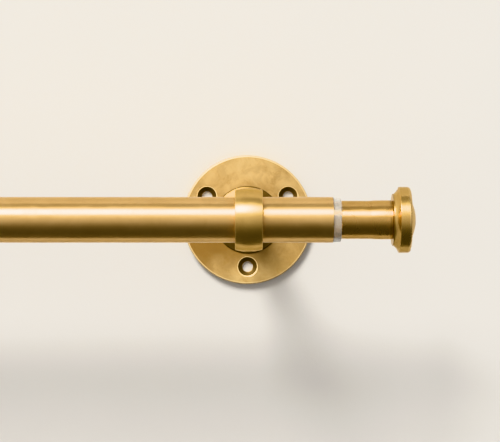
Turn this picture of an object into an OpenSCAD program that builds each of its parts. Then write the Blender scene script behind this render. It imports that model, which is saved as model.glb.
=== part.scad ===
// Adjustable curtain rod with two round wall brackets.
// The rod runs along X at a set distance in front of the wall, which is the plane Y = 0.
// The room is on the -Y side, +Z is up, and the origin is the centre of the right bracket's wall face.
// All sizes are in millimetres.

/* [Rod] */
// Outside diameter of the outer tube
outer_tube_d = 19.05; // [19:0.05:22]
// Length of the outer tube
outer_tube_length = 667; // [400:1:900]
// Outside diameter of the inner tube
inner_tube_d = 15.875; // [15:0.005:16]
// Wall thickness of both tubes
tube_wall = 0.8; // [0.6:0.1:1]
// Length of inner tube that shows past the end collar
inner_tube_showing = 12.1; // [12.1:0.1:300]
// Distance from the middle of each ring to the end of the outer tube
bracket_overhang = 35; // [30:0.5:60]

/* [Wall bracket] */
// Distance from the wall to the middle of the rod
rod_projection = 76; // [60:1:110]
// Diameter of the wall flange
flange_d = 59; // [56:0.5:70]
// Thickness of the wall flange
flange_thickness = 3; // [3:0.1:5]
// Diameter of the circle that the wall screw holes lie on
hole_circle_d = 43; // [41:0.5:45]
// Diameter of each wall screw hole
screw_hole_d = 4.8; // [3.5:0.1:5.5]
// Diameter of the countersink at the face of the flange
countersink_d = 9; // [8:0.1:9.4]
// Diameter of the boss where it meets the flange
boss_d = 30.5; // [26:0.5:31.5]
// Height of the boss above the flange
boss_height = 9.5; // [7:0.5:14]
// Diameter of the post between the flange and the ring
post_d = 10; // [9:0.5:10]

/* [Ring] */
// Largest outside diameter of the ring
ring_d = 26.5; // [26:0.5:30]
// Width of the ring along the rod
ring_width = 11.5; // [11:0.5:16]
// How far the middle of the ring's outside stands above its edges
ring_crown = 0.75; // [0.2:0.05:0.8]

/* [End collar] */
// Diameter of the part of the collar that shows
collar_d = 18.5; // [18:0.1:18.8]
// Width of the part of the collar that shows
collar_width = 3.3; // [2:0.1:6]

/* [Finial] */
// Length of the neck from the tube to the cap
neck_length = 9.3; // [7:0.1:14]
// Diameter of the neck at its fattest
neck_d = 16.3; // [16.1:0.1:17]
// Diameter of the narrow step at the back of the cap
cap_step_d = 21.7; // [20:0.1:22]
// Diameter of the rim of the cap
cap_rim_d = 27.5; // [26:0.1:32]
// Length of the cap from the neck to the top of its dome
cap_length = 9.75; // [9.5:0.05:11]

/* [Hidden] */
$fn = 96;

// Where things are along the rod
right_bracket_x = 0;
outer_tube_right_x = bracket_overhang;
outer_tube_left_x = outer_tube_right_x - outer_tube_length;
left_bracket_x = outer_tube_left_x + bracket_overhang;
inner_tube_right_x = outer_tube_right_x + collar_width + inner_tube_showing;
inner_tube_shorter_by = 60;
inner_tube_length = outer_tube_length - inner_tube_shorter_by;
inner_tube_left_x = inner_tube_right_x - inner_tube_length;
left_finial_x = outer_tube_left_x - collar_width;

// Fits between round pieces, as a gap on the radius
sliding_gap = 0.05;
seated_gap = 0.03;
cut_margin = 1;

// Wall flange
screw_hole_count = 3;
first_hole_angle = 30;
flange_edge_radius = 0.5;
post_screw_d = 4;
post_screw_length = 14;
post_screw_head_d = 8;
post_screw_head_land = 0.2;
post_screw_hex = 2.5;
post_screw_hex_depth = 1.4;

// Boss and post
boss_edge_height = 0.7;
boss_top_wall = 1.3;
boss_hollow_radius = 16;
spigot_d = 6;
ring_seat_depth = 1.2;
spigot_short_by = 0.3;

// Ring and its grub screw
ring_edge_radius = 0.5;
grub_d = 4;
grub_tip_gap = 0.3;
grub_sunk_by = 0.4;
grub_tip_chamfer = 0.5;
grub_hex = 2;
grub_hex_depth = 1.5;

// Tubes, collar and plugs
tube_end_chamfer = 0.15;
collar_sleeve_length = 18;
collar_edge_radius = 0.5;
adapter_body_length = 22;
insert_length = 14;
left_insert_d = 10;
glide_length = 6;
glide_spigot_length = 12;
glide_hole_d = 6;

// Finial
stud_d = 6;
stud_in_insert = 8;
stud_in_cap = 5;
stud_end_chamfer = 0.6;
neck_fattest_at = 5.5;
neck_end_radius = 1;
cap_step_height = 0.5;
cap_cove_height = 2.1;
cap_cove_radius = 6;
cap_rim_top = 7.4;
cap_corner_radius = 1.2;
dome_d = 17.6;

// Radii and sizes worked out from the above
outer_r = outer_tube_d / 2;
outer_bore_r = outer_r - tube_wall;
inner_r = inner_tube_d / 2;
inner_bore_r = inner_r - tube_wall;
ring_bore_r = outer_r + sliding_gap;
stud_hole_r = stud_d / 2 + sliding_gap;
ring_seat_from_wall = rod_projection - ring_d / 2 + ring_seat_depth;
spigot_length = ring_d / 2 - ring_seat_depth - ring_bore_r - spigot_short_by;
grub_tip_r = outer_r + grub_tip_gap;
grub_length = ring_d / 2 - grub_sunk_by - grub_tip_r;

BRASS = [0.80, 0.63, 0.36];
PATINA_BRASS = [0.76, 0.60, 0.34];
CLEAR_PLASTIC = [0.82, 0.80, 0.75];
WHITE_PLASTIC = [0.92, 0.92, 0.90];
STEEL = [0.62, 0.62, 0.62];

// ---- Placing ----

// Stands a piece on the wall: its own +Z points into the room
module on_wall(x) {
    translate([x, 0, 0]) rotate([90, 0, 0]) children();
}

// Puts a turned piece on the rod's centre line with its own +Z towards +X
module on_rod_facing_right(x) {
    translate([x, -rod_projection, 0]) rotate([0, 90, 0]) children();
}

// Puts a turned piece on the rod's centre line with its own +Z towards -X
module on_rod_facing_left(x) {
    translate([x, -rod_projection, 0]) rotate([0, -90, 0]) children();
}

// ---- Shared outlines and shapes: radius across, height up ----

// Radius across of a bulging side at a distance from its fattest place
function bulge_r(fattest_r, bulge_radius, distance) =
    fattest_r - bulge_radius + sqrt(bulge_radius * bulge_radius - distance * distance);

// Radius of the circle whose arc rises by the given amount over half its span
function arc_radius(half_span, rise) = (half_span * half_span + rise * rise) / (2 * rise);

// Centre of the circle of the given radius through p and q, on the right of the way from p to q
function circle_centre(p, q, radius) =
    let (way = q - p, chord = norm(way), off = sqrt(radius * radius - chord * chord / 4))
    (p + q) / 2 + off * [way[1], -way[0]] / chord;

// The waste outside a rounded corner that points up and outwards
module top_corner_waste(corner, radius) {
    translate([corner[0] - radius, corner[1] - radius]) difference() {
        square(radius + cut_margin);
        circle(r = radius, $fn = 48);
    }
}

// A plain round bar along Z with a bevelled far end
module bevelled_bar(d, length, bevel) {
    rotate_extrude() polygon([
        [0, 0],
        [d / 2, 0],
        [d / 2, length - bevel],
        [d / 2 - bevel, length],
        [0, length]
    ]);
}

// A tube along Z with a small bevel on the outside of both ends
module plain_tube(outside_r, length) {
    bore_r = outside_r - tube_wall;
    rotate_extrude() polygon([
        [bore_r, 0],
        [outside_r - tube_end_chamfer, 0],
        [outside_r, tube_end_chamfer],
        [outside_r, length - tube_end_chamfer],
        [outside_r - tube_end_chamfer, length],
        [bore_r, length]
    ]);
}

// ---- Wall bracket ----

// Round plate with rounded front edge, three wall screw holes and a hole for the post screw
module wall_flange(x) {
    color(PATINA_BRASS) on_wall(x) difference() {
        rotate_extrude() difference() {
            square([flange_d / 2, flange_thickness]);
            top_corner_waste([flange_d / 2, flange_thickness], flange_edge_radius);
        }
        for (i = [0 : screw_hole_count - 1]) {
            rotate([0, 0, first_hole_angle + i * 360 / screw_hole_count])
                translate([hole_circle_d / 2, 0, 0]) wall_screw_hole();
        }
        post_screw_hole();
    }
}

// One wall screw hole, countersunk at 90 degrees from the room side
module wall_screw_hole() {
    sink_depth = (countersink_d - screw_hole_d) / 2;
    translate([0, 0, -cut_margin])
        cylinder(d = screw_hole_d, h = flange_thickness + 2 * cut_margin);
    translate([0, 0, flange_thickness - sink_depth]) cylinder(
        d1 = screw_hole_d,
        d2 = countersink_d + 2 * cut_margin,
        h = sink_depth + cut_margin
    );
}

// Hole for the post screw, countersunk from the wall side
module post_screw_hole() {
    head_room_d = post_screw_head_d + 2 * post_screw_head_land + 4 * sliding_gap;
    translate([0, 0, -cut_margin])
        cylinder(r = post_screw_d / 2 + sliding_gap, h = flange_thickness + 2 * cut_margin);
    cylinder(d1 = head_room_d, d2 = post_screw_d, h = (head_room_d - post_screw_d) / 2);
}

// Flared collar around the foot of the post, with hollow sides
module boss(x) {
    foot = [boss_d / 2, boss_edge_height];
    top = [post_d / 2 + boss_top_wall, boss_height];
    color(PATINA_BRASS) on_wall(x) translate([0, 0, flange_thickness]) rotate_extrude() difference() {
        square([boss_d / 2, boss_height]);
        intersection() {
            translate([0, boss_edge_height]) square([boss_d, boss_height]);
            translate(circle_centre(foot, top, boss_hollow_radius))
                circle(r = boss_hollow_radius, $fn = 180);
        }
        square([post_d / 2 + seated_gap, boss_height]);
    }
}

// Post from the flange to the ring, with a spigot at its front and a threaded hole at its foot
module post(x) {
    color(BRASS) on_wall(x) difference() {
        union() {
            translate([0, 0, flange_thickness])
                cylinder(d = post_d, h = ring_seat_from_wall - flange_thickness);
            translate([0, 0, ring_seat_from_wall]) cylinder(d = spigot_d, h = spigot_length);
        }
        cylinder(r = post_screw_d / 2 + seated_gap, h = post_screw_length + cut_margin);
    }
}

// Countersunk machine screw that holds the post to the flange from behind
module post_screw(x) {
    head_height = post_screw_head_land + (post_screw_head_d - post_screw_d) / 2;
    color(STEEL) on_wall(x) translate([0, 0, seated_gap]) difference() {
        rotate_extrude() polygon([
            [0, 0],
            [post_screw_head_d / 2, 0],
            [post_screw_head_d / 2, post_screw_head_land],
            [post_screw_d / 2, head_height],
            [post_screw_d / 2, post_screw_length],
            [0, post_screw_length]
        ]);
        hex_socket(post_screw_hex, post_screw_hex_depth);
    }
}

// Six-sided socket that opens downwards from Z = 0
module hex_socket(across_flats, depth) {
    translate([0, 0, -cut_margin])
        cylinder(d = across_flats / cos(30), h = depth + cut_margin, $fn = 6);
}

// Crowned ring around the rod, with a seat for the post behind it and a grub screw hole below it
module ring(x) {
    crown_radius = arc_radius(ring_width / 2, ring_crown);
    color(BRASS) difference() {
        on_rod_facing_right(x - ring_width / 2) rotate_extrude() intersection() {
            translate([ring_bore_r, 0]) square([ring_d / 2 - ring_bore_r, ring_width]);
            translate([ring_d / 2 - crown_radius, ring_width / 2]) circle(r = crown_radius, $fn = 180);
            ring_edge_rounding(crown_radius);
        }
        on_wall(x) {
            translate([0, 0, rod_projection - ring_d])
                cylinder(r = post_d / 2 + seated_gap, h = ring_d / 2 + ring_seat_depth);
            translate([0, 0, rod_projection - ring_d])
                cylinder(r = spigot_d / 2 + seated_gap, h = ring_d);
        }
        translate([x, -rod_projection, -ring_d])
            cylinder(r = grub_d / 2 + sliding_gap, h = ring_d);
    }
}

// Outline that rounds the two outer edges of the ring's section
module ring_edge_rounding(crown_radius) {
    edge = [bulge_r(ring_d / 2, crown_radius, ring_width / 2 - ring_edge_radius), ring_width];
    difference() {
        square([ring_d, ring_width]);
        top_corner_waste(edge, ring_edge_radius);
        translate([0, ring_width]) mirror([0, 1]) top_corner_waste(edge, ring_edge_radius);
    }
}

// Grub screw in the underside of the ring, tip towards the rod
module grub_screw(x) {
    color(STEEL) translate([x, -rod_projection, -grub_tip_r - grub_length]) difference() {
        bevelled_bar(grub_d, grub_length, grub_tip_chamfer);
        hex_socket(grub_hex, grub_hex_depth);
    }
}

// ---- Rod ----

module outer_tube() {
    color(BRASS) on_rod_facing_right(outer_tube_left_x) plain_tube(outer_r, outer_tube_length);
}

module inner_tube() {
    color(BRASS) on_rod_facing_right(inner_tube_left_x) plain_tube(inner_r, inner_tube_length);
}

// Section of a plastic collar: a sleeve below Z = 0, inside the outer tube, and a flange above it
module collar_outline(hole_r, sleeve_length) {
    sleeve_r = outer_bore_r - seated_gap;
    translate([hole_r, -sleeve_length]) square([sleeve_r - hole_r, sleeve_length + cut_margin]);
    difference() {
        translate([hole_r, 0]) square([collar_d / 2 - hole_r, collar_width]);
        top_corner_waste([collar_d / 2, collar_width], collar_edge_radius);
    }
}

// Translucent bush in the right end of the outer tube, which the inner tube slides through
module end_collar() {
    color(CLEAR_PLASTIC) on_rod_facing_right(outer_tube_right_x)
        rotate_extrude() collar_outline(inner_r + sliding_gap, collar_sleeve_length);
}

// Plug in the left end of the outer tube, with the same collar and a seat for the threaded insert
module left_adapter() {
    color(CLEAR_PLASTIC) on_rod_facing_left(outer_tube_left_x)
        rotate_extrude() collar_outline(left_insert_d / 2 + seated_gap, adapter_body_length);
}

// Threaded insert: a plug with the finial's thread through it, its mouth at Z = 0
module threaded_insert(d) {
    translate([0, 0, -insert_length]) difference() {
        cylinder(d = d, h = insert_length);
        translate([0, 0, -cut_margin]) cylinder(r = stud_hole_r, h = insert_length + 2 * cut_margin);
    }
}

module right_insert() {
    color(STEEL) on_rod_facing_right(inner_tube_right_x) threaded_insert(2 * (inner_bore_r - seated_gap));
}

module left_insert() {
    color(STEEL) on_rod_facing_left(left_finial_x) threaded_insert(left_insert_d);
}

// Plastic plug on the buried end of the inner tube, which keeps it central in the outer tube
module inner_glide() {
    color(WHITE_PLASTIC) on_rod_facing_left(inner_tube_left_x) difference() {
        union() {
            cylinder(r = outer_bore_r - sliding_gap, h = glide_length);
            translate([0, 0, -glide_spigot_length])
                cylinder(r = inner_bore_r - seated_gap, h = glide_spigot_length + cut_margin);
        }
        translate([0, 0, -glide_spigot_length - cut_margin])
            cylinder(d = glide_hole_d, h = glide_spigot_length + glide_length + 2 * cut_margin);
    }
}

// ---- Finial: Z = 0 is the end of the tube, and the cap points up ----

// Slightly barrelled sleeve between the tube and the cap
module finial_neck() {
    swell_radius = arc_radius(neck_fattest_at, neck_d / 2 - inner_r);
    shoulder_r = bulge_r(neck_d / 2, swell_radius, neck_length - neck_end_radius - neck_fattest_at);
    rotate_extrude() difference() {
        intersection() {
            translate([stud_hole_r, 0]) square([neck_d / 2 - stud_hole_r, neck_length]);
            translate([neck_d / 2 - swell_radius, neck_fattest_at]) circle(r = swell_radius, $fn = 180);
        }
        top_corner_waste([shoulder_r, neck_length], neck_end_radius);
    }
}

// Turned cap: a narrow step, a hollow cove, a plain rim and a low dome
module finial_cap() {
    step_r = cap_step_d / 2;
    rim_r = cap_rim_d / 2;
    cove_top = cap_step_height + cap_cove_height;
    cove = circle_centre([step_r, cap_step_height], [rim_r, cove_top], cap_cove_radius);
    dome_height = cap_length - cap_rim_top;
    dome_radius = arc_radius(dome_d / 2, dome_height);
    translate([0, 0, neck_length]) rotate_extrude() difference() {
        union() {
            square([rim_r, cap_rim_top]);
            intersection() {
                square([dome_d / 2, cap_length]);
                translate([0, cap_length - dome_radius]) circle(r = dome_radius, $fn = 180);
            }
        }
        translate([step_r, -cut_margin]) square([rim_r, cap_step_height + cut_margin]);
        intersection() {
            translate([step_r, 0]) square([rim_r, cove_top]);
            translate(cove) circle(r = cap_cove_radius, $fn = 180);
        }
        top_corner_waste([rim_r, cap_rim_top], cap_corner_radius);
        square([stud_d / 2 + seated_gap, stud_in_cap]);
    }
}

// Threaded rod from the insert, through the neck, into the cap
module finial_stud() {
    length = stud_in_insert + neck_length + stud_in_cap - seated_gap;
    translate([0, 0, length - stud_in_insert]) rotate([180, 0, 0])
        bevelled_bar(stud_d, length, stud_end_chamfer);
}

module right_finial_neck() {
    color(BRASS) on_rod_facing_right(inner_tube_right_x) finial_neck();
}

module right_finial_cap() {
    color(BRASS) on_rod_facing_right(inner_tube_right_x) finial_cap();
}

module right_finial_stud() {
    color(STEEL) on_rod_facing_right(inner_tube_right_x) finial_stud();
}

module left_finial_neck() {
    color(BRASS) on_rod_facing_left(left_finial_x) finial_neck();
}

module left_finial_cap() {
    color(BRASS) on_rod_facing_left(left_finial_x) finial_cap();
}

module left_finial_stud() {
    color(STEEL) on_rod_facing_left(left_finial_x) finial_stud();
}

wall_flange(right_bracket_x);  // right_wall_flange
boss(right_bracket_x);  // right_boss
post(right_bracket_x);  // right_post
ring(right_bracket_x);  // right_ring
post_screw(right_bracket_x);  // right_post_screw
grub_screw(right_bracket_x);  // right_grub_screw
wall_flange(left_bracket_x);  // left_wall_flange
boss(left_bracket_x);  // left_boss
post(left_bracket_x);  // left_post
ring(left_bracket_x);  // left_ring
post_screw(left_bracket_x);  // left_post_screw
grub_screw(left_bracket_x);  // left_grub_screw
outer_tube();
end_collar();
left_adapter();
left_insert();
inner_tube();
inner_glide();
right_insert();
right_finial_neck();
right_finial_cap();
right_finial_stud();
left_finial_neck();
left_finial_cap();
left_finial_stud();
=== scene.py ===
"""Looks for an adjustable curtain rod held in two round wall brackets.

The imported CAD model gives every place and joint. The pieces that show are built again here with fine
edges, threads and procedural finishes, and stand for their CAD nodes. All lengths are in metres.
"""
import math

import bmesh
import bpy
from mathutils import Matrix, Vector
from mathutils.geometry import delaunay_2d_cdt


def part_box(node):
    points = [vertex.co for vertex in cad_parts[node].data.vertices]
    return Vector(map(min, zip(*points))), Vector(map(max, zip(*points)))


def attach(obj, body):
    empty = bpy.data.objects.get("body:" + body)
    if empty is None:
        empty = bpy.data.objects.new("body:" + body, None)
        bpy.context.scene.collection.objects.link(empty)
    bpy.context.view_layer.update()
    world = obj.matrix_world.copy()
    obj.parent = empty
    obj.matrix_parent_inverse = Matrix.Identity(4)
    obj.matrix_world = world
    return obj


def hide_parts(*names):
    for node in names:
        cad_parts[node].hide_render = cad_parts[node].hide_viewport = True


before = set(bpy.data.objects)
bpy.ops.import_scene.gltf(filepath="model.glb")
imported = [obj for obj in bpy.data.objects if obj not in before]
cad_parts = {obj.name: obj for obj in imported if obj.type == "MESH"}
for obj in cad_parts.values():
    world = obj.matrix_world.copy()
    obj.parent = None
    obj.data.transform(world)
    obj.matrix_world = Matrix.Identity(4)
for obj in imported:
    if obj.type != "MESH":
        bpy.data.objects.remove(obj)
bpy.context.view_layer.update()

MM = 0.001

# ---- Sizes that the pieces share with the CAD model ----

FLANGE_THICKNESS = 3 * MM
HOLE_CIRCLE_R = 21.5 * MM
HOLE_ANGLES = (30, 150, 270)
SCREW_HOLE_R = 2.4 * MM
COUNTERSINK_R = 4.5 * MM
POST_SCREW_HOLE_R = 2.05 * MM
POST_SCREW_SINK_R = 4.3 * MM
BOSS_EDGE_HEIGHT = 0.7 * MM
BOSS_TOP_WALL = 1.3 * MM
BOSS_HOLLOW_R = 16 * MM
SEATED_GAP = 0.03 * MM
SLIDING_GAP = 0.05 * MM
RING_CROWN = 0.75 * MM
RING_SEAT_DEPTH = 1.2 * MM
TUBE_WALL = 0.8 * MM
COLLAR_WIDTH = 3.3 * MM
LEFT_INSERT_R = 5 * MM
NECK_FATTEST_AT = 5.5 * MM
CAP_STEP_R = 10.85 * MM
CAP_STEP_HEIGHT = 0.5 * MM
CAP_COVE_HEIGHT = 2.1 * MM
CAP_COVE_R = 6 * MM
CAP_RIM_TOP = 7.4 * MM
CAP_CORNER_R = 1.2 * MM
DOME_R = 8.8 * MM
STUD_R = 3 * MM
STUD_IN_CAP = 5 * MM
GRUB_R = 2 * MM
GRUB_HEX = 2 * MM
GRUB_HEX_DEPTH = 1.5 * MM

# ---- Details that only the looks have ----

FLANGE_FACE_MARGIN = 2.0 * MM
HOLE_FACE_MARGIN = 0.4 * MM
# Width of the line of painted contact shade on the plate round the boss's foot
SHADE_LINE_WIDTH = 0.5 * MM
SHADED_CONE = (0.2, 0.85)  # where the painted shade in a countersink starts and ends, as shares of the way down
POST_END_GAP = 0.2 * MM
# How far painted shade reaches in from the outer tube's ends, and back from the neck's end by the cap
TUBE_END_SHADE_LENGTH = 2 * MM
NECK_SHADE_LENGTH = 2 * MM
STUD_PITCH = 1 * MM
STUD_GROOVE = 0.55 * MM
STUD_BEVEL = 0.6 * MM
GRUB_PITCH = 0.7 * MM
GRUB_GROOVE = 0.35 * MM
GRUB_BEVEL = 0.4 * MM
GROOVE_STEEPNESS = 1.25

# Rounding of a corner. A smooth point lies on a curve and isn't a corner
SMOOTH = 0
SHARP_EDGE = 0.01 * MM
NECK_SEAM = 0.03 * MM
TUBE_END = 0.06 * MM
CRISP_EDGE = 0.1 * MM
CAP_STEP_EDGE = 0.12 * MM
LIGHT_EDGE = 0.15 * MM
FINE_EDGE = 0.2 * MM
BLUNT_EDGE = 0.25 * MM
SOFT_EDGE = 0.3 * MM
RING_EDGE = 0.45 * MM
COLLAR_EDGE = 0.5 * MM
FLANGE_EDGE = 0.6 * MM
NECK_END = 1.0 * MM

# Corner values: 1 is worn bright, 0 is plain and -1 is the darkest painted shade
PLAIN = 0.0
DARKEST_SHADE = -1.0
FLANGE_EDGE_WEAR = 0.55
# Values named _SHADE below are painted shade in recesses, corners and where parts meet
COUNTERSINK_SHADE = -0.85
SINK_BOTTOM_SHADE = -0.4
BOSS_EDGE_SHADE = -0.9
RING_EDGE_WEAR = 0.3
OUTER_TUBE_END_SHADE = -0.8
NECK_SHADE = -0.9
NECK_END_SHADE = -0.7
CAP_STEP_FOOT_SHADE = -0.7
CAP_STEP_SHADE = -0.5
COVE_TOP_WEAR = 0.2
# The cap's rim corner and dome are worn bright and painted paler, a painted reflection of the wall
CAP_END_WEAR_AND_SHEEN = 0.4

# How finely the pieces are divided
AROUND_LARGE = 160
AROUND_MIDDLE = 96
AROUND_CUTTER = 64
AROUND_SMALL = 48
THREAD_ROWS = 8
BOSS_FLANK_STEPS = 14
RING_CROWN_STEPS = 16
NECK_STEPS = 24
COVE_STEPS = 10
DOME_STEPS = 14
FILLET_STEP = math.radians(15)
SHARP_IN_RING = math.radians(28)
SHARP_IN_THREAD = math.radians(40)
CUTTER_LENGTH = 20 * MM

# How a corner is rounded: below this turn (in radians) it is straight, and the arc and the guard points
# beside it take up no more than these shares of the sides next to it
STRAIGHT_BELOW = 0.02
ARC_SHARE = 0.45
GUARD_SHARE = 0.48
GUARD = 0.25 * MM
LEAST_GUARD = 0.02 * MM

TINY = 1e-9
JUST_INSIDE = 0.9999
# The point attribute that holds each corner's brightening by use and its painted shade
WEAR_AND_SHADE = "wear"
SPOT = "spot"

# ---- Places, from the CAD model ----


def middle(node):
    low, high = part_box(node)
    return (low + high) / 2


def half_height(node):
    low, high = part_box(node)
    return (high.z - low.z) / 2


ROD_Y = middle("outer_tube").y
OUTER_R = half_height("outer_tube")
INNER_R = half_height("inner_tube")
OUTER_BORE_R = OUTER_R - TUBE_WALL
INNER_BORE_R = INNER_R - TUBE_WALL
RIGHT = Vector((1, 0, 0))
LEFT = Vector((-1, 0, 0))
INTO_ROOM = Vector((0, -1, 0))
UP = Vector((0, 0, 1))
DOWN = Vector((0, 0, -1))

# ---- Meshes ----


def along_and_across(way):
    """Two directions square to way, so that across_1 x across_2 = way."""
    across_1 = UP if abs(way.z) < 0.5 else RIGHT
    across_2 = way.cross(across_1)
    return across_1, across_2


class Surface:
    """Collects the vertices, faces, normals, and the edge brightening and painted shade of one mesh."""

    def __init__(self, centre=(0, 0, 0)):
        self.points, self.normals, self.wear, self.faces = [], [], [], []
        self.centre = Vector(centre)

    def ring(self, points, normals, wear):
        first = len(self.points)
        self.points += [tuple(p) for p in points]
        self.normals += [tuple(n) for n in normals]
        self.wear += [wear] * len(points)
        return list(range(first, len(self.points)))

    def bridge(self, a, b):
        """Faces between two rings. A ring of one point is a pole."""
        count = max(len(a), len(b))
        for j in range(count):
            k = (j + 1) % count
            corners = [a[j % len(a)], a[k % len(a)], b[k % len(b)], b[j % len(b)]]
            self.faces.append(list(dict.fromkeys(corners)))

    def turn(self, outline, start, way, around, closed):
        """Turns an outline about the line from start along way. Returns its rings."""
        across_1, across_2 = along_and_across(way)
        rings = []
        for along, radius, normal_along, normal_across, wear in outline:
            count = 1 if radius < TINY else around
            points, normals = [], []
            for j in range(count):
                angle = 2 * math.pi * j / count
                spoke = across_1 * math.cos(angle) + across_2 * math.sin(angle)
                points.append(start + way * along + spoke * radius)
                normals.append(way * normal_along + spoke * normal_across)
            rings.append(self.ring(points, normals, wear))
        pairs = list(zip(rings, rings[1:]))
        if closed:
            pairs.append((rings[-1], rings[0]))
        for a, b in pairs:
            self.bridge(a, b)
        return rings

    def flat(self, loops, outer, holes, normal):
        """Fills the flat region inside loop outer and outside loops holes, through every loop."""
        ids = [i for loop in loops for i in loop]
        across_1, across_2 = along_and_across(Vector(normal))
        corners = [Vector(self.points[i]) for i in ids]
        flat_points = [Vector((p.dot(across_1), p.dot(across_2))) for p in corners]
        edges, first = [], 0
        for loop in loops:
            count = len(loop)
            edges += [(first + j, first + (j + 1) % count) for j in range(count)]
            first += count
        places, _, triangles, origin, _, _ = delaunay_2d_cdt(flat_points, edges, [], 0, TINY)
        where = dict(zip(ids, flat_points))

        def inside(point, loop):
            centre = sum((where[i] for i in loop), Vector((0, 0))) / len(loop)
            return (point - centre).length < (where[loop[0]] - centre).length * JUST_INSIDE

        for triangle in triangles:
            middle_point = sum((places[i] for i in triangle), Vector((0, 0))) / 3
            if inside(middle_point, outer) and not any(inside(middle_point, h) for h in holes):
                self.faces.append([ids[origin[i][0]] for i in triangle])

    def make(self, name, sharp_angle=None):
        """The mesh object. Its normals are the collected ones, or its faces' own if sharp_angle is given."""
        mesh = bpy.data.meshes.new(name)
        mesh.from_pydata(self.points, [], self.faces)
        mesh.attributes.new(WEAR_AND_SHADE, "FLOAT", "POINT").data.foreach_set("value", self.wear)
        spots = [c for point in self.points for c in Vector(point) - self.centre]
        mesh.attributes.new(SPOT, "FLOAT_VECTOR", "POINT").data.foreach_set("vector", spots)
        wound = bmesh.new()
        wound.from_mesh(mesh)
        bmesh.ops.recalc_face_normals(wound, faces=wound.faces)
        wound.to_mesh(mesh)
        wound.free()
        mesh.shade_smooth()
        if sharp_angle is None:
            mesh.normals_split_custom_set_from_vertices(self.normals)
        else:
            mesh.set_sharp_from_angle(angle=sharp_angle)
        mesh.validate()
        piece = bpy.data.objects.new(name, mesh)
        bpy.context.scene.collection.objects.link(piece)
        return piece


def rounded(corners, closed):
    """An outline of (along, radius, normal along, normal across, corner value) points.

    corners are (along, radius, rounding) with the solid on the right of the way round. Rounded outer
    corners are worn bright and inner ones are darkened with painted shade, unless a corner gives its own
    value for this as a fourth item. A guard point on each side of a corner keeps the corner's value off
    the flat beyond it.
    """
    points = []
    count = len(corners)
    for i, (x, y, rounding, *own_wear) in enumerate(corners):
        here = Vector((x, y))
        has_before, has_after = closed or i > 0, closed or i < count - 1
        before = here - Vector(corners[i - 1][:2]) if has_before else None
        after = Vector(corners[(i + 1) % count][:2]) - here if has_after else None
        way_in = (before or after).normalized()
        way_out = (after or before).normalized()
        normal_in, normal_out = Vector((-way_in.y, way_in.x)), Vector((-way_out.y, way_out.x))
        turn = way_in.angle_signed(way_out, 0)
        if rounding == SMOOTH or abs(turn) < STRAIGHT_BELOW or not (has_before and has_after):
            normal = (normal_in + normal_out).normalized()
            points.append((x, y, normal.x, normal.y, own_wear[0] if own_wear else PLAIN))
            continue
        outer_corner = way_in.x * way_out.y - way_in.y * way_out.x < 0
        room = ARC_SHARE * min(before.length, after.length)
        reach = min(rounding * math.tan(abs(turn) / 2), room)
        radius = reach / math.tan(abs(turn) / 2)
        side = 1 if outer_corner else -1
        # Outer corners are worn bright; inner corners get painted shade
        wear = own_wear[0] if own_wear else float(side)
        centre = here - way_in * reach - normal_in * radius * side
        guard_in = min(GUARD, GUARD_SHARE * before.length - reach)
        guard_out = min(GUARD, GUARD_SHARE * after.length - reach)
        if guard_in > LEAST_GUARD:
            p = here - way_in * (reach + guard_in)
            points.append((p.x, p.y, normal_in.x, normal_in.y, PLAIN))
        steps = max(2, math.ceil(abs(turn) / FILLET_STEP))
        for k in range(steps + 1):
            normal = normal_in.slerp(normal_out, k / steps)
            p = centre + normal * radius * side
            points.append((p.x, p.y, normal.x, normal.y, wear))
        if guard_out > LEAST_GUARD:
            p = here + way_out * (reach + guard_out)
            points.append((p.x, p.y, normal_out.x, normal_out.y, PLAIN))
    return points


def bow(p, q, rise, steps):
    """Points of the arc from p to q, both left out, that rises to the left of the way by rise."""
    p, q = Vector(p), Vector(q)
    chord = q - p
    half = chord.length / 2
    radius = (half * half + rise * rise) / (2 * abs(rise))
    left = Vector((-chord.y, chord.x)).normalized() * math.copysign(1, rise)
    centre = (p + q) / 2 + left * (abs(rise) - radius)
    sweep = math.asin(min(1, half / radius))
    along = chord.normalized()
    points = []
    for k in range(1, steps):
        angle = sweep * (2 * k / steps - 1)
        point = centre + along * math.sin(angle) * radius + left * math.cos(angle) * radius
        points.append((point.x, point.y, SMOOTH))
    return points


def turned(name, corners, start, way, around=AROUND_LARGE, closed=True):
    """A piece turned about the line from start along way. A closed outline makes a hollow piece."""
    surface = Surface(start)
    surface.turn(rounded(corners, closed), start, way, around, closed)
    return surface.make(name)


def solid_bar(radius, length):
    """Corners of a plain solid bar."""
    return [(0, 0, SMOOTH), (0, radius, SHARP_EDGE), (length, radius, SHARP_EDGE), (length, 0, SMOOTH)]


# ---- Pieces of a wall bracket ----


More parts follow.
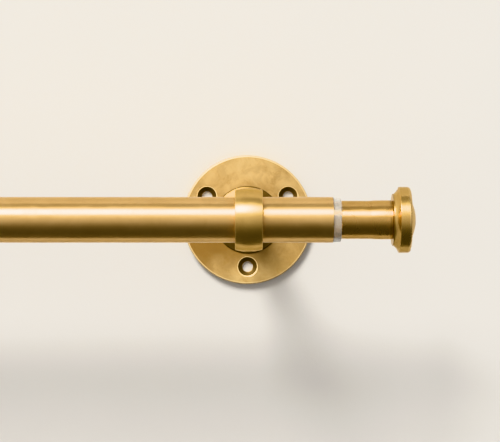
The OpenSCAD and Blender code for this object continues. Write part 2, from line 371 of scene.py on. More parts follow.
def wall_flange(side):
    """Round plate: rim, three countersunk holes, the post screw's hole, and the flat faces between them."""
    low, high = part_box(f"{side}_wall_flange")
    centre = Vector(((low.x + high.x) / 2, high.y, (low.z + high.z) / 2))
    radius = (high.z - low.z) / 2
    boss_r = half_height(f"{side}_boss")
    surface = Surface(centre)
    rim = rounded(
        [
            (0, radius - FLANGE_FACE_MARGIN, SMOOTH),
            (0, radius, FINE_EDGE),
            (FLANGE_THICKNESS, radius, FLANGE_EDGE, FLANGE_EDGE_WEAR),
            (FLANGE_THICKNESS, radius - FLANGE_FACE_MARGIN, SMOOTH),
        ],
        closed=False,
    )
    rings = surface.turn(rim, centre, INTO_ROOM, AROUND_LARGE, closed=False)
    back, front = rings[0], rings[-1]

    def hole(place, corners):
        """A hole's wall. Returns its ring in the back face and the one in the front face."""
        inner = surface.turn(rounded(corners, closed=False), place, INTO_ROOM, AROUND_SMALL, closed=False)
        return inner[-1], inner[0]

    cone = COUNTERSINK_R - SCREW_HOLE_R
    sink_from = FLANGE_THICKNESS - cone
    # The countersinks and the holes under them are darkened with painted shade down their walls
    shaded_cone = [
        (FLANGE_THICKNESS - share * cone, COUNTERSINK_R - share * cone, SMOOTH, COUNTERSINK_SHADE)
        for share in SHADED_CONE
    ]
    screw_hole = [
        (FLANGE_THICKNESS, COUNTERSINK_R + HOLE_FACE_MARGIN, SMOOTH),
        (FLANGE_THICKNESS, COUNTERSINK_R, SOFT_EDGE),
        *shaded_cone,
        (sink_from, SCREW_HOLE_R, LIGHT_EDGE, SINK_BOTTOM_SHADE),
        (sink_from / 2, SCREW_HOLE_R, SMOOTH, DARKEST_SHADE),
        (0, SCREW_HOLE_R, CRISP_EDGE),
        (0, SCREW_HOLE_R + HOLE_FACE_MARGIN, SMOOTH),
    ]
    post_sink_to = POST_SCREW_SINK_R - POST_SCREW_HOLE_R
    post_hole = [
        (FLANGE_THICKNESS, POST_SCREW_HOLE_R + HOLE_FACE_MARGIN, SMOOTH),
        (FLANGE_THICKNESS, POST_SCREW_HOLE_R, CRISP_EDGE),
        (post_sink_to, POST_SCREW_HOLE_R, CRISP_EDGE),
        (0, POST_SCREW_SINK_R, LIGHT_EDGE),
        (0, POST_SCREW_SINK_R + HOLE_FACE_MARGIN, SMOOTH),
    ]
    holes = [hole(centre, post_hole)]
    for angle in HOLE_ANGLES:
        spoke = Vector((math.cos(math.radians(angle)), 0, math.sin(math.radians(angle))))
        holes.append(hole(centre + spoke * HOLE_CIRCLE_R, screw_hole))
    # A line of painted contact shade on the plate round the boss's foot
    facing_room = (1, 0)
    around_boss = [
        (FLANGE_THICKNESS, boss_r, *facing_room, DARKEST_SHADE),
        (FLANGE_THICKNESS, boss_r + SHADE_LINE_WIDTH, *facing_room, PLAIN),
    ]
    shade_line = surface.turn(around_boss, centre, INTO_ROOM, AROUND_LARGE, closed=False)
    # The front face is filled through both rings of the painted shade line, so the strip between them goes
    del surface.faces[-AROUND_LARGE:]
    back_holes = [h[0] for h in holes]
    front_holes = [h[1] for h in holes]
    surface.flat([back] + back_holes, back, back_holes, -INTO_ROOM)
    surface.flat([front] + shade_line + front_holes, front, front_holes, INTO_ROOM)
    return surface.make(f"{side}_wall_flange_turned")


def boss(side):
    """Flared collar with hollow sides around the foot of the post."""
    low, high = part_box(f"{side}_boss")
    start = Vector(((low.x + high.x) / 2, high.y, (low.z + high.z) / 2))
    foot_r, height = (high.z - low.z) / 2, high.y - low.y
    post_r = half_height(f"{side}_post")
    top_r = post_r + BOSS_TOP_WALL
    half_chord = math.hypot(foot_r - top_r, height - BOSS_EDGE_HEIGHT) / 2
    hollow = BOSS_HOLLOW_R - math.sqrt(BOSS_HOLLOW_R**2 - half_chord**2)
    flank = bow((BOSS_EDGE_HEIGHT, foot_r), (height, top_r), -hollow, BOSS_FLANK_STEPS)
    # The foot is darkened with painted contact shade where it meets the plate
    corners = [
        (0, post_r + SEATED_GAP, FINE_EDGE),
        (0, foot_r, FINE_EDGE, DARKEST_SHADE),
        (BOSS_EDGE_HEIGHT, foot_r, BLUNT_EDGE, BOSS_EDGE_SHADE),
        *flank,
        (height, top_r, BLUNT_EDGE),
        (height, post_r + SEATED_GAP, FINE_EDGE),
    ]
    return turned(f"{side}_boss_turned", corners, start, INTO_ROOM)


def post(side):
    """Post from the flange to just short of the bottom of the ring's seat."""
    low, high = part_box(f"{side}_post")
    start = Vector(((low.x + high.x) / 2, high.y, (low.z + high.z) / 2))
    radius = (high.z - low.z) / 2
    ring_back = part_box(f"{side}_ring")[1].y
    length = high.y - (ring_back + POST_END_GAP) + RING_SEAT_DEPTH
    corners = [(0, 0, SMOOTH), (0, radius, FINE_EDGE), (length, radius, FINE_EDGE), (length, 0, SMOOTH)]
    return turned(f"{side}_post_turned", corners, start, INTO_ROOM, AROUND_MIDDLE, closed=False)


def ring(side):
    """Crowned ring, bored for the rod, with a seat for the post and a hole for the grub screw."""
    low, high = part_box(f"{side}_ring")
    width = high.x - low.x
    edge_r = high.z - RING_CROWN
    start = Vector((low.x, ROD_Y, 0))
    corners = [
        (0, OUTER_R + SLIDING_GAP, SOFT_EDGE),
        (0, edge_r, RING_EDGE, RING_EDGE_WEAR),
        *bow((0, edge_r), (width, edge_r), RING_CROWN, RING_CROWN_STEPS),
        (width, edge_r, RING_EDGE, RING_EDGE_WEAR),
        (width, OUTER_R + SLIDING_GAP, SOFT_EDGE),
    ]
    piece = turned(f"{side}_ring_turned", corners, start, RIGHT)
    middle_of_ring = Vector((low.x + width / 2, ROD_Y, 0))
    grub_hole = solid_bar(GRUB_R + SLIDING_GAP, CUTTER_LENGTH)
    seat = solid_bar(half_height(f"{side}_post") + SEATED_GAP, CUTTER_LENGTH)
    seat_bottom = middle_of_ring - INTO_ROOM * (high.z - RING_SEAT_DEPTH)
    cutters = [
        turned("cutter", grub_hole, middle_of_ring, DOWN, AROUND_CUTTER, closed=False),
        turned("cutter", seat, seat_bottom, -INTO_ROOM, AROUND_CUTTER, closed=False),
    ]
    for cutter in cutters:
        cut = piece.modifiers.new("cut", "BOOLEAN")
        cut.operation, cut.solver, cut.object = "DIFFERENCE", "EXACT", cutter
    depsgraph = bpy.context.evaluated_depsgraph_get()
    mesh = bpy.data.meshes.new_from_object(piece.evaluated_get(depsgraph))
    piece.modifiers.clear()
    piece.data = mesh
    for cutter in cutters:
        bpy.data.objects.remove(cutter)
    mesh.shade_smooth()
    mesh.set_sharp_from_angle(angle=SHARP_IN_RING)
    return piece


def threaded_bar(name, radius, pitch, groove_depth, length, bevel, start, way, hex_across=0, hex_depth=0):
    """A bar with a right-hand thread along it and, if asked, a six-sided socket in its far end."""
    across_1, across_2 = along_and_across(way)
    angles = [2 * math.pi * j / AROUND_SMALL for j in range(AROUND_SMALL)]
    spokes = [across_1 * math.cos(a) + across_2 * math.sin(a) for a in angles]
    surface = Surface()

    def ring_at(along, radii):
        points = [start + way * along + s * r for s, r in zip(spokes, radii)]
        return surface.ring(points, spokes, PLAIN)

    rings = [surface.ring([start], [-way], PLAIN)]
    rows = math.ceil(length / (pitch / THREAD_ROWS))
    for i in range(rows + 1):
        along = length * i / rows
        taper = min(1, (radius - bevel + min(along, length - along)) / radius)
        radii = []
        for angle in angles:
            phase = (along / pitch - angle / (2 * math.pi)) % 1
            groove = max(0.0, 1 - abs(2 * phase - 1) * GROOVE_STEEPNESS)
            radii.append(min(radius - groove_depth * groove, radius * taper))
        rings.append(ring_at(along, radii))
    if hex_across:
        sixth = math.pi / 3
        off_flat = [(angle + sixth / 2) % sixth - sixth / 2 for angle in angles]
        hexagon = [hex_across / 2 / math.cos(angle) for angle in off_flat]
        rings.append(ring_at(length, hexagon))
        rings.append(ring_at(length - hex_depth, hexagon))
        rings.append(surface.ring([start + way * (length - hex_depth)], [way], PLAIN))
    else:
        rings.append(surface.ring([start + way * length], [way], PLAIN))
    for a, b in zip(rings, rings[1:]):
        surface.bridge(a, b)
    return surface.make(name, SHARP_IN_THREAD)


def grub_screw(side):
    low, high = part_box(f"{side}_grub_screw")
    start = Vector(((low.x + high.x) / 2, (low.y + high.y) / 2, high.z))
    return threaded_bar(
        f"{side}_grub_screw_threaded", GRUB_R, GRUB_PITCH, GRUB_GROOVE, high.z - low.z, GRUB_BEVEL,
        start, DOWN, GRUB_HEX, GRUB_HEX_DEPTH,
    )


# ---- Pieces of the rod ----


def tube(node, outside_r, bore_r, end_wear):
    """Drawn tube. The painted shade given for its ends is spread over the last of its outside at each end."""
    low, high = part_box(node)
    start, length = Vector((low.x, ROD_Y, 0)), high.x - low.x
    corners = [
        (0, bore_r, FINE_EDGE),
        (0, outside_r, TUBE_END, end_wear),
        (TUBE_END_SHADE_LENGTH, outside_r, SMOOTH),
        (length - TUBE_END_SHADE_LENGTH, outside_r, SMOOTH),
        (length, outside_r, TUBE_END, end_wear),
        (length, bore_r, FINE_EDGE),
    ]
    return turned(f"{node}_drawn", corners, start, RIGHT)


def collar(node, way, hole_r):
    """Plastic collar: a flange against the end of the outer tube and a sleeve inside it."""
    low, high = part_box(node)
    collar_r = (high.z - low.z) / 2
    far = high.x if way == RIGHT else low.x
    start = Vector((far, ROD_Y, 0)) - way * COLLAR_WIDTH
    sleeve = high.x - low.x - COLLAR_WIDTH
    sleeve_r = OUTER_BORE_R - SEATED_GAP
    corners = [
        (-sleeve, hole_r, FINE_EDGE),
        (-sleeve, sleeve_r, FINE_EDGE),
        (0, sleeve_r, CRISP_EDGE),
        (0, collar_r, LIGHT_EDGE),
        (COLLAR_WIDTH, collar_r, COLLAR_EDGE),
        (COLLAR_WIDTH, hole_r, SOFT_EDGE),
    ]
    return turned(f"{node}_moulded", corners, start, way)


def finial_start(side):
    """Where the finial's neck starts, and how long it is."""
    low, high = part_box(f"{side}_finial_neck")
    return Vector((low.x if side == "right" else high.x, ROD_Y, 0)), high.x - low.x


def finial_neck(side, way):
    """Slightly barrelled sleeve, with painted shade where it meets the cap."""
    start, length = finial_start(side)
    fattest_r = half_height(f"{side}_finial_neck")
    swell = fattest_r - INNER_R
    swell_r = (NECK_FATTEST_AT**2 + swell**2) / (2 * swell)
    hole_r = STUD_R + SLIDING_GAP

    def radius_at(along):
        return fattest_r - swell_r + math.sqrt(swell_r**2 - (along - NECK_FATTEST_AT) ** 2)

    # The barrel darkens with painted shade over its last part before the cap
    barrel = []
    for k in range(1, NECK_STEPS - 1):
        along = length * k / NECK_STEPS
        painted_shade = max(0.0, 1 - (length - along) / NECK_SHADE_LENGTH)
        barrel.append((along, radius_at(along), SMOOTH, NECK_SHADE * painted_shade))
    corners = [
        (0, hole_r, FINE_EDGE),
        (0, INNER_R, NECK_SEAM, PLAIN),
        *barrel,
        (length, radius_at(length), NECK_END, NECK_END_SHADE),
        (length, hole_r, FINE_EDGE),
    ]
    return turned(f"{side}_finial_neck_turned", corners, start, way)


def finial_cap(side, way):
    """Turned cap: a narrow step, a hollow cove, a plain rim and a low dome."""
    start, neck_length = finial_start(side)
    low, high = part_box(f"{side}_finial_cap")
    rim_r, length = (high.z - low.z) / 2, high.x - low.x
    cove_top = CAP_STEP_HEIGHT + CAP_COVE_HEIGHT
    half_chord = math.hypot(rim_r - CAP_STEP_R, CAP_COVE_HEIGHT) / 2
    cove_rise = CAP_COVE_R - math.sqrt(CAP_COVE_R**2 - half_chord**2)
    dome_height = length - CAP_RIM_TOP
    dome_ball_r = (DOME_R**2 + dome_height**2) / (2 * dome_height)
    dome = []
    for k in range(1, DOME_STEPS):
        radius = DOME_R * (1 - k / DOME_STEPS)
        along = length - dome_ball_r + math.sqrt(dome_ball_r**2 - radius**2)
        dome.append((along, radius, SMOOTH, CAP_END_WEAR_AND_SHEEN))
    hole_r = STUD_R + SEATED_GAP
    corners = [
        (STUD_IN_CAP, 0, SMOOTH),
        (STUD_IN_CAP, hole_r, CRISP_EDGE),
        (0, hole_r, FINE_EDGE),
        # Painted shade darkens the step where the cap meets the neck
        (0, CAP_STEP_R, LIGHT_EDGE, CAP_STEP_FOOT_SHADE),
        (CAP_STEP_HEIGHT, CAP_STEP_R, CAP_STEP_EDGE, CAP_STEP_SHADE),
        *bow((CAP_STEP_HEIGHT, CAP_STEP_R), (cove_top, rim_r), -cove_rise, COVE_STEPS),
        (cove_top, rim_r, BLUNT_EDGE, COVE_TOP_WEAR),
        # From here over the dome: worn bright and painted paler as a painted reflection of the wall
        (CAP_RIM_TOP, rim_r, CAP_CORNER_R, CAP_END_WEAR_AND_SHEEN),
        (CAP_RIM_TOP, DOME_R, SOFT_EDGE, CAP_END_WEAR_AND_SHEEN),
        *dome,
        (length, 0, SMOOTH),
    ]
    return turned(f"{side}_finial_cap_turned", corners, start + way * neck_length, way, closed=False)


def finial_stud(side, way):
    low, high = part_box(f"{side}_finial_stud")
    start = Vector((low.x if side == "right" else high.x, ROD_Y, 0))
    return threaded_bar(
        f"{side}_finial_stud_threaded", STUD_R, STUD_PITCH, STUD_GROOVE, high.x - low.x, STUD_BEVEL,
        start, way,
    )


# ---- Materials ----

# The Mix node's sockets for colours, which share their names with the ones for numbers
MIX_COLOR_A, MIX_COLOR_B, MIX_COLOR_RESULT = 6, 7, 2


class Shader:
    """Builds one material's nodes around a Principled shader."""

    def __init__(self, name):
        self.material = bpy.data.materials.new(name)
        self.material.use_nodes = True
        self.tree = self.material.node_tree
        self.surface = self.tree.nodes["Principled BSDF"]
        self.place = self.add("ShaderNodeTexCoord").outputs["Object"]

    def add(self, kind, inputs=None, **settings):
        node = self.tree.nodes.new(kind)
        for key, value in settings.items():
            setattr(node, key, value)
        for key, value in (inputs or {}).items():
            self.put(value, node.inputs[key])
        return node

    def put(self, value, socket):
        """Links an output to a socket, or sets the socket's own value."""
        if isinstance(value, bpy.types.NodeSocket):
            self.tree.links.new(value, socket)
        else:
            socket.default_value = value

    def set(self, **inputs):
        """Gives values or outputs to the Principled shader's inputs, named with _ for each space."""
        for key, value in inputs.items():
            self.put(value, self.surface.inputs[key.replace("_", " ")])

    def stretched(self, scale, offset=(0, 0, 0)):
        """The place on the piece, scaled along each axis and shifted."""
        return self.add(
            "ShaderNodeMapping", {"Vector": self.place, "Scale": scale, "Location": offset}
        ).outputs["Vector"]

    def noise(self, scale, detail=2.0, roughness=0.5, distortion=0.0, where=None):
        settings = {
            "Vector": where or self.place,
            "Scale": scale,
            "Detail": detail,
            "Roughness": roughness,
            "Distortion": distortion,
        }
        return self.add("ShaderNodeTexNoise", settings).outputs["Fac"]

    def fit(self, value, low, high, to_low=0.0, to_high=1.0):
        """Turns value from low to high into to_low to to_high, smoothly and no further."""
        settings = {"Value": value, "From Min": low, "From Max": high, "To Min": to_low, "To Max": to_high}
        return self.add("ShaderNodeMapRange", settings, interpolation_type="SMOOTHSTEP").outputs["Result"]

    def calculate(self, operation, a, b):
        return self.add("ShaderNodeMath", {0: a, 1: b}, operation=operation).outputs["Value"]

    def mixed(self, share, a, b):
        """The colour a, going over to b as share goes from 0 to 1."""
        node = self.add("ShaderNodeMix", data_type="RGBA", blend_type="MIX")
        self.put(share, node.inputs["Factor"])
        self.put(a, node.inputs[MIX_COLOR_A])
        self.put(b, node.inputs[MIX_COLOR_B])
        return node.outputs[MIX_COLOR_RESULT]

    def bumped(self, height, strength, distance):
        settings = {"Height": height, "Strength": strength, "Distance": distance}
        return self.add("ShaderNodeBump", settings).outputs["Normal"]


def rgb(red, green, blue):
    return (red, green, blue, 1.0)


# Metal and finishes. Each pair is the light and the deep tone of one finish
BRIGHT_BRASS = rgb(0.84, 0.64, 0.36)
EDGE_BRASS = rgb(0.95, 0.80, 0.50)
SATIN_TONES = rgb(0.645, 0.415, 0.168), rgb(0.585, 0.37, 0.142)
DEEP_TONES = rgb(0.52, 0.335, 0.12), rgb(0.47, 0.30, 0.10)
RING_TONES = rgb(0.62, 0.41, 0.155), rgb(0.56, 0.365, 0.132)
INNER_TONES = rgb(0.54, 0.336, 0.125), rgb(0.49, 0.30, 0.106)
DULL_TONES = rgb(0.185, 0.115, 0.038), rgb(0.14, 0.084, 0.028)
PLATE_TONES = rgb(0.34, 0.237, 0.112), rgb(0.24, 0.162, 0.074)
# Brown for stains and painted shade, lighter brass for painted light on the plate, and the dark colour of
# painted shade in corners
BROWN_PATINA_AND_SHADE = rgb(0.16, 0.09, 0.03)
LIT_BRASS = rgb(0.80, 0.52, 0.18)
DARK_SHADE = rgb(0.05, 0.03, 0.012)
STEEL_TONES = rgb(0.62, 0.62, 0.60), rgb(0.46, 0.46, 0.45)
CLEAR_TONES = rgb(0.72, 0.705, 0.68), rgb(0.68, 0.665, 0.64)
WHITE_TONES = rgb(0.60, 0.60, 0.58), rgb(0.56, 0.56, 0.54)
WALL_TONES = rgb(0.632, 0.620, 0.612), rgb(0.624, 0.612, 0.604)
FLOOR_TONES = rgb(0.74, 0.70, 0.64), rgb(0.72, 0.68, 0.62)
GRAIN_DEPTH = 0.02 * MM
STAIN_SHIFT = (0.31, 0.17, 0.43)
STAIN_ROUGHNESS = 0.1
SHADE_ROUGHNESS = 0.2
PATCH_RAGGEDNESS = 9 * MM
NOISE_SPAN = (0.3, 0.7)  # most of a noise's values lie in here

# How many times finer the marks are along each axis. They run round the rod, round the post or anyhow
AROUND_ROD = (6000, 40, 40)
AROUND_POST = (1600, 900, 2600)
ANY_WAY = (4000, 4000, 4000)


class Brass(Shader):
    """Lacquered antique brass: two tones in soft clouds, brown stains, worn edges, painted shade in corners.
    """

    def __init__(self, name, light, deep, tone_scale, patina):
        super().__init__(name)
        tone = self.noise(tone_scale, detail=4.0, roughness=0.55, distortion=0.6)
        self.color = self.mixed(self.fit(tone, *NOISE_SPAN), light, deep)
        elsewhere = self.stretched((1, 1, 1), STAIN_SHIFT)
        cloud = self.noise(tone_scale * 0.8, detail=3.0, roughness=0.6, distortion=1.2, where=elsewhere)
        speckle = self.noise(tone_scale * 7, detail=3.0, roughness=0.7)
        stain = self.fit(cloud, 0.42, 0.68)
        self.stain = self.calculate("MULTIPLY", stain, self.fit(speckle, *NOISE_SPAN, to_low=0.4))
        self.stain_and_shade(self.calculate("MULTIPLY", self.stain, patina))

    # Mixes towards brown: stains, and on the plate painted shade too
    def stain_and_shade(self, share):
        self.color = self.mixed(share, self.color, BROWN_PATINA_AND_SHADE)

    def finish(self, brushing, depth, roughness, lathe_axis, spread, lacquer):
        """Worn edges, painted shade in corners, turning marks and lacquer. The shine spreads across the
        marks.
        """
        wear = self.add("ShaderNodeAttribute", attribute_name=WEAR_AND_SHADE).outputs["Fac"]
        # Negative corner values darken the colour with painted shade and make it a little rougher
        painted_shade = self.fit(self.calculate("MULTIPLY", wear, -1.0), 0.1, 1.0, to_high=0.9)
        color = self.mixed(self.fit(wear, 0.1, 0.9, to_high=0.85), self.color, BRIGHT_BRASS)
        color = self.mixed(painted_shade, color, DARK_SHADE)
        scratches = self.noise(1.0, detail=4.0, roughness=0.6, where=self.stretched(brushing))
        swing = 0.1 * depth
        rough = self.fit(scratches, 0.25, 0.75, roughness - swing, roughness + swing)
        rough = self.calculate("ADD", rough, self.calculate("MULTIPLY", self.stain, STAIN_ROUGHNESS))
        rough = self.calculate("ADD", rough, self.calculate("MULTIPLY", painted_shade, SHADE_ROUGHNESS))
        grain = self.bumped(scratches, depth, GRAIN_DEPTH)
        self.set(Base_Color=color, Metallic=1.0, Roughness=rough, Normal=grain, Coat_Normal=grain)
        tangent = self.add("ShaderNodeTangent", direction_type="RADIAL", axis=lathe_axis)
        self.set(Anisotropic=spread, Anisotropic_Rotation=0.25, Tangent=tangent.outputs["Tangent"])
        self.set(Specular_Tint=EDGE_BRASS, Coat_Weight=lacquer, Coat_Roughness=0.18, Coat_IOR=1.5)
        return self.material


def turned_brass(name, tones, patina, brushing, depth, roughness, lathe_axis, spread=0.85, lacquer=0.5):
    """Brass of one look all over. depth is that of its turning marks and patina the share of its stains."""
    s = Brass(name, *tones, tone_scale=90.0, patina=patina)
    return s.finish(brushing, depth, roughness, lathe_axis, spread, lacquer)


def plate_finish(name):
    """Turned plate with painted shade by its boss, at both sides and under the rod, and painted light at the
    lower right.
    """
    s = Brass(name, *PLATE_TONES, tone_scale=150.0, patina=0.5)
    spot = s.add("ShaderNodeAttribute", attribute_name=SPOT).outputs["Vector"]
    split = s.add("ShaderNodeSeparateXYZ", {"Vector": spot})
    across, up = split.outputs["X"], split.outputs["Z"]
    on_face = s.add("ShaderNodeCombineXYZ", {"X": across, "Z": up}).outputs["Vector"]
    reach = s.add("ShaderNodeVectorMath", {0: on_face}, operation="LENGTH").outputs["Value"]
    ragged = s.noise(160, detail=3.0, roughness=0.6)
    wobble = s.calculate("MULTIPLY", s.calculate("SUBTRACT", ragged, 0.5), PATCH_RAGGEDNESS)

    def patch(distance, start, end, to_low, to_high):
        """A share that changes from one distance (in mm) to another, with a ragged edge."""
        return s.fit(s.calculate("ADD", distance, wobble), start * MM, end * MM, to_low, to_high)

    def even(distance, start, end, to_low, to_high):
        """The same with an even edge."""
        return s.fit(distance, start * MM, end * MM, to_low, to_high)

    # Painted shade: by the boss, at both sides, and under the rod, most on its left
    boss_shade = patch(reach, 14, 22, to_low=0.4, to_high=0.0)
    right_side_shade = patch(across, 2, 16, to_low=0.0, to_high=0.15)
    left_side_shade = patch(across, -20, -5, to_low=0.26, to_high=0.0)
    under_rod_shade = patch(up, -25, -14, to_low=0.0, to_high=0.95)
    below = even(up, -2, 2, to_low=1.0, to_high=0.0)
    leftwards = even(across, -4, 10, to_low=1.0, to_high=0.35)
    under_rod_shade = s.calculate("MULTIPLY", s.calculate("MULTIPLY", under_rod_shade, below), leftwards)
    # Painted light: lighter brass towards the bottom and the right
    near_bottom = patch(up, -22, -10, to_low=1.0, to_high=0.0)
    lower_right_light = s.calculate("MULTIPLY", near_bottom, even(across, 0, 18, to_low=0.05, to_high=0.19))
    s.color = s.mixed(lower_right_light, s.color, LIT_BRASS)
    for share in (boss_shade, right_side_shade, left_side_shade, under_rod_shade):
        s.stain_and_shade(share)
    return s.finish(AROUND_POST, depth=0.3, roughness=0.52, lathe_axis="Y", spread=0.1, lacquer=0.15)


def steel(name):
    s = Shader(name)
    scratches = s.noise(1.0, detail=4.0, roughness=0.6, where=s.stretched(ANY_WAY))
    cloud = s.noise(700, detail=3.0, roughness=0.6)
    s.set(
        Base_Color=s.mixed(s.fit(cloud, *NOISE_SPAN), *STEEL_TONES),
        Metallic=1.0,
        Roughness=s.fit(scratches, 0.2, 0.8, to_low=0.28, to_high=0.45),
        Normal=s.bumped(scratches, strength=0.3, distance=GRAIN_DEPTH),
    )
    return s.material


def plastic(name, tones, milky, roughness, clear):
    """Moulded plastic. milky and clear are the shares of light that scatter in it and pass through it."""
    s = Shader(name)
    cloud = s.noise(260, detail=3.0, roughness=0.55, distortion=0.4)
    fine = s.noise(2600, detail=2.0, roughness=0.6)
    s.set(
        Base_Color=s.mixed(s.fit(cloud, *NOISE_SPAN), *tones),
        Roughness=s.fit(fine, *NOISE_SPAN, to_low=roughness - 0.05, to_high=roughness + 0.06),
        Normal=s.bumped(fine, strength=0.15, distance=GRAIN_DEPTH),
        Subsurface_Weight=milky,
        Transmission_Weight=clear,
        Subsurface_Radius=(1.0, 0.9, 0.8),
        Subsurface_Scale=2.5 * MM,
        Coat_Weight=0.5,
        Coat_Roughness=0.3,
    )
    return s.material


tube_brass = turned_brass(
    "tube_brass", SATIN_TONES, patina=0.05, brushing=AROUND_ROD, depth=0.3, roughness=0.33, lathe_axis="X",
)
inner_brass = turned_brass(
    "inner_brass", INNER_TONES, patina=0.05, brushing=AROUND_ROD, depth=0.04, roughness=0.27,
    lathe_axis="X", lacquer=0.25,
)
finial_brass = turned_brass(
    "finial_brass", DEEP_TONES, patina=0.1, brushing=AROUND_ROD, depth=0.06, roughness=0.25,
    lathe_axis="X", spread=0.6, lacquer=0.3,
)
ring_brass = turned_brass(
    "ring_brass", RING_TONES, patina=0.15, brushing=AROUND_ROD, depth=0.5, roughness=0.32,
    lathe_axis="X", lacquer=0.1,
)
boss_brass = turned_brass(
    "boss_brass", DULL_TONES, patina=0.4, brushing=AROUND_POST, depth=0.3, roughness=0.42,
    lathe_axis="Y", spread=0.7, lacquer=0.0,
)
post_brass = turned_brass(
    "post_brass", DEEP_TONES, patina=0.3, brushing=AROUND_POST, depth=0.3, roughness=0.36, lathe_axis="Y",
)
plate_brass = plate_finish("plate_brass")
screw_steel = steel("screw_steel")
clear_plastic = plastic("clear_plastic", CLEAR_TONES, milky=0.2, roughness=0.16, clear=0.8)
white_plastic = plastic("white_plastic", WHITE_TONES, milky=0.2, roughness=0.4, clear=0.0)


def dress(piece, material):
    piece.data.materials.clear()
    piece.data.materials.append(material)


def stand_for(piece, node, body, material):
    """Puts a built piece in place of a CAD node."""
    dress(piece, material)
    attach(piece, body)
    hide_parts(node)


for side, way in (("right", RIGHT), ("left", LEFT)):
    bracket, lock = f"{side}_bracket", f"{side}_lock"
    sleeve, knob = f"{side}_finial_sleeve", f"{side}_finial_knob"
    stand_for(wall_flange(side), f"{side}_wall_flange", bracket, plate_brass)
    stand_for(boss(side), f"{side}_boss", bracket, boss_brass)
    stand_for(post(side), f"{side}_post", bracket, post_brass)
    stand_for(ring(side), f"{side}_ring", bracket, ring_brass)
    stand_for(grub_screw(side), f"{side}_grub_screw", lock, screw_steel)
    stand_for(finial_neck(side, way), f"{side}_finial_neck", sleeve, inner_brass)
    stand_for(finial_cap(side, way), f"{side}_finial_cap", knob, finial_brass)
    stand_for(finial_stud(side, way), f"{side}_finial_stud", knob, screw_steel)
    dress(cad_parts[f"{side}_post_screw"], screw_steel)
    dress(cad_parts[f"{side}_insert"], screw_steel)

outer_tube = tube("outer_tube", OUTER_R, OUTER_BORE_R, OUTER_TUBE_END_SHADE)
stand_for(outer_tube, "outer_tube", "outer_rod", tube_brass)
inner_tube = tube("inner_tube", INNER_R, INNER_BORE_R, PLAIN)
stand_for(inner_tube, "inner_tube", "inner_rod", inner_brass)
end_collar = collar("end_collar", RIGHT, INNER_R + SLIDING_GAP)
stand_for(end_collar, "end_collar", "outer_rod", clear_plastic)
left_adapter = collar("left_adapter", LEFT, LEFT_INSERT_R + SEATED_GAP)
stand_for(left_adapter, "left_adapter", "outer_rod", clear_plastic)
dress(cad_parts["inner_glide"], white_plastic)

# ---- Wall, floor, light and camera ----

WALL_GAP = 0.2 * MM
WALL_HALF = 6.0
FLOOR_BELOW = 0.3
FLOOR_HALF = 20.0
TOUCHING = 2 * MM


def sheet(name, corners, material):
    """One flat face of the stage, which isn't part of the object."""
    mesh = bpy.data.meshes.new(name)
    mesh.from_pydata(corners, [], [tuple(range(len(corners)))])
    piece = bpy.data.objects.new(name, mesh)
    bpy.context.scene.collection.objects.link(piece)
    mesh.materials.append(material)
    return piece


def wall_paint():
    """Cream plaster in front. The back of the sheet can be seen through, so the object shows from behind.

    Light that starts on the backs of the flanges, which all but touch the sheet, passes through it too.
    """
    s = Shader("wall_paint")
    cloud = s.noise(14, detail=3.0, roughness=0.5)
    lumps = s.noise(900, detail=4.0, roughness=0.6)
    s.set(
        Base_Color=s.mixed(s.fit(cloud, *NOISE_SPAN), *WALL_TONES),
        Roughness=0.9,
        Normal=s.bumped(lumps, strength=0.25, distance=0.15 * MM),
    )
    clear = s.add("ShaderNodeBsdfTransparent").outputs["BSDF"]
    behind = s.add("ShaderNodeNewGeometry").outputs["Backfacing"]
    touching = s.calculate("LESS_THAN", s.add("ShaderNodeLightPath").outputs["Ray Length"], TOUCHING)
    either = s.calculate("MAXIMUM", behind, touching)
    mix = s.add("ShaderNodeMixShader", {"Fac": either, 1: s.surface.outputs["BSDF"], 2: clear})
    s.put(mix.outputs["Shader"], s.tree.nodes["Material Output"].inputs["Surface"])
    return s.material


def floor_paint():
    s = Shader("floor_paint")
    s.set(
        Base_Color=s.mixed(s.noise(3, detail=3.0, roughness=0.5), *FLOOR_TONES),
        Roughness=s.fit(s.noise(60, detail=3.0, roughness=0.6), *NOISE_SPAN, to_low=0.6, to_high=0.7),
    )
    return s.material


wall = sheet(
    "wall",
    [(-WALL_HALF, WALL_GAP, -FLOOR_BELOW), (WALL_HALF, WALL_GAP, -FLOOR_BELOW),
     (WALL_HALF, WALL_GAP, WALL_HALF), (-WALL_HALF, WALL_GAP, WALL_HALF)],
    wall_paint(),
)
wall.visible_shadow = False
floor = sheet(
    "floor",
    [(-FLOOR_HALF, -FLOOR_HALF, -FLOOR_BELOW), (FLOOR_HALF, -FLOOR_HALF, -FLOOR_BELOW),
     (FLOOR_HALF, FLOOR_HALF, -FLOOR_BELOW), (-FLOOR_HALF, FLOOR_HALF, -FLOOR_BELOW)],
    floor_paint(),
)
floor.visible_glossy = False
floor.visible_diffuse = False
floor.visible_shadow = False

# The studio around the object, as brightness against height: -1 is straight down and 1 straight up
STUDIO = [
    (-1.00, 0.13), (-0.90, 0.13), (-0.77, 0.14), (-0.57, 0.22), (-0.36, 0.46), (-0.17, 0.76),
    (0.00, 0.98), (0.17, 1.15), (0.34, 1.15), (0.50, 0.90), (0.80, 0.65), (1.00, 0.55),
]
# Multiplied by its brightness against the way to the left (-1) and to the right (1)
STUDIO_SIDEWAYS = [(-1.0, 1.2), (0.0, 1.0), (0.6, 0.85), (1.0, 0.45)]
STUDIO_TINT = (1.0, 0.965, 0.90)
SHINE_TINT = (1.0, 1.0, 0.86)


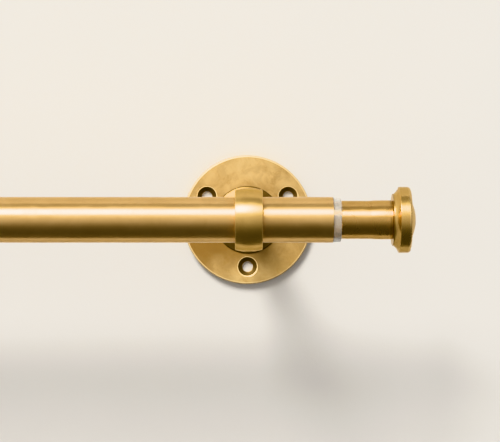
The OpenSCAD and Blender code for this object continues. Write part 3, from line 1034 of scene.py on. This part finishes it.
def studio_light():
    """World light: the ramp of heights above, a little stronger from the left and weak from the far right."""
    world = bpy.data.worlds.new("studio")
    world.use_nodes = True
    bpy.context.scene.world = world
    nodes, links = world.node_tree.nodes, world.node_tree.links
    direction = nodes.new("ShaderNodeTexCoord")
    split = nodes.new("ShaderNodeSeparateXYZ")
    links.new(direction.outputs["Generated"], split.inputs["Vector"])

    def ramp(axis, levels, tint):
        """Brightness along an axis of the world, from -1 to 1."""
        place = nodes.new("ShaderNodeMapRange")
        place.inputs["From Min"].default_value = -1
        stops_node = nodes.new("ShaderNodeValToRGB")
        stops_node.color_ramp.interpolation = "EASE"
        stops = stops_node.color_ramp.elements
        while len(stops) < len(levels):
            stops.new(0.5)
        for stop, (where, level) in zip(stops, levels):
            stop.position = (where + 1) / 2
            stop.color = rgb(*(level * share for share in tint))
        links.new(split.outputs[axis], place.inputs["Value"])
        links.new(place.outputs["Result"], stops_node.inputs["Fac"])
        return stops_node.outputs["Color"]

    background = nodes["Background"]
    links.new(ramp("Z", STUDIO, STUDIO_TINT), background.inputs["Color"])
    links.new(ramp("X", STUDIO_SIDEWAYS, (1, 1, 1)), background.inputs["Strength"])


def soft_box(name, towards, distance, size, energy, color):
    """A rectangular lamp that shines on the right bracket from the direction towards."""
    data = bpy.data.lights.new(name, "AREA")
    data.shape = "RECTANGLE"
    data.size, data.size_y = size
    data.energy = energy
    data.color = color
    lamp = bpy.data.objects.new(name, data)
    back = Vector(towards).normalized()
    lamp.location = Vector((0, ROD_Y, 0)) + back * distance
    lamp.rotation_mode = "QUATERNION"
    lamp.rotation_quaternion = back.to_track_quat("Z", "Y")
    lamp.visible_camera = False
    bpy.context.scene.collection.objects.link(lamp)
    return lamp


studio_light()
# The key lamp lights and casts the shadows. The shine lamp makes the long highlights on the brass
key = soft_box(
    "key", towards=(-0.40, -0.76, 0.88), distance=7.0, size=(2.3, 2.6), energy=680, color=STUDIO_TINT,
)
key.visible_glossy = False
shine = soft_box(
    "shine", towards=(-0.42, -0.76, 0.715), distance=7.0, size=(4.6, 2.5), energy=2500, color=SHINE_TINT,
)
shine.visible_diffuse = False

CAMERA_PLACE = Vector((-5.3 * MM, ROD_Y - 707 * MM, 0.3 * MM))
CAMERA_AIM = Vector((0.52 * MM, ROD_Y, -0.48 * MM))
SENSOR_WIDTH = 36.0
LENS = 122.4
NEAREST_SEEN = 0.05
FARTHEST_SEEN = 60

camera_data = bpy.data.cameras.new("camera")
camera_data.sensor_width = SENSOR_WIDTH
camera_data.lens = LENS
camera_data.clip_start, camera_data.clip_end = NEAREST_SEEN, FARTHEST_SEEN
camera = bpy.data.objects.new("camera", camera_data)
bpy.context.scene.collection.objects.link(camera)
camera.location = CAMERA_PLACE
camera.rotation_mode = "QUATERNION"
camera.rotation_quaternion = (CAMERA_AIM - CAMERA_PLACE).to_track_quat("-Z", "Y")
bpy.context.scene.camera = camera

bpy.context.scene.view_settings.view_transform = "Khronos PBR Neutral"
